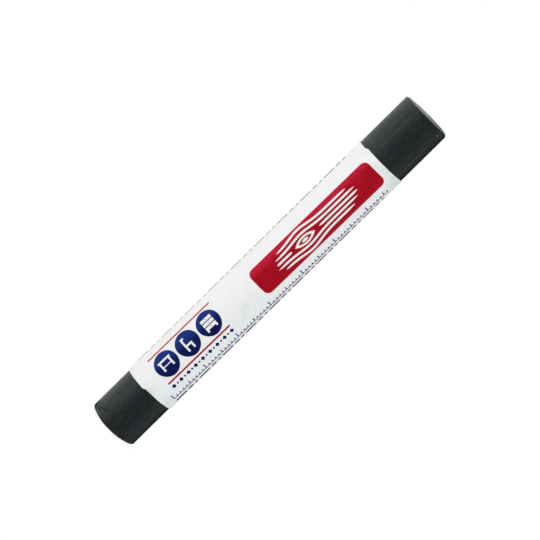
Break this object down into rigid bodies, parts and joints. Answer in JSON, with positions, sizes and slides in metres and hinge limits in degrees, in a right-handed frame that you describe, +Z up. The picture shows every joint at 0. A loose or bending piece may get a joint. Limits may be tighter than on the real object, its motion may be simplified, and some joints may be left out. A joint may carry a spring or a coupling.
{
  "type": "furniture repair wax stick",
  "caption": "Round stick of solid charcoal wax in a lapped paper sleeve that slides along it to bare fresh wax at either end.",
  "frame": {"origin": "centre of the lower end of the wax, on the surface that the stick stands on", "axes": "+Z runs up the stick's axis, the printed front faces -Y, and the lap of the sleeve lies at the back, on +Y"},
  "size_m": [0.0128, 0.0129, 0.099],
  "materials": {
    "wax": "satin",
    "paper": "satin",
    "glue": "satin",
    "red_ink": "satin",
    "navy_ink": "satin"
  },
  "bodies": {
    "stick": {"wax_stick": "wax"},
    "sleeve": {"paper_sleeve": "paper", "seam_glue": "glue", "red_panel": "red_ink", "red_rules": "red_ink", "navy_discs": "navy_ink", "navy_beads": "navy_ink", "navy_scale": "navy_ink", "navy_dashes": "navy_ink"}
  },
  "joints": [
    {"name": "sleeve_slide", "type": "slide", "parent": "stick", "child": "sleeve", "axis": [0, 0, 1], "range_m": [-0.0123, 0.0142]}
  ]
}
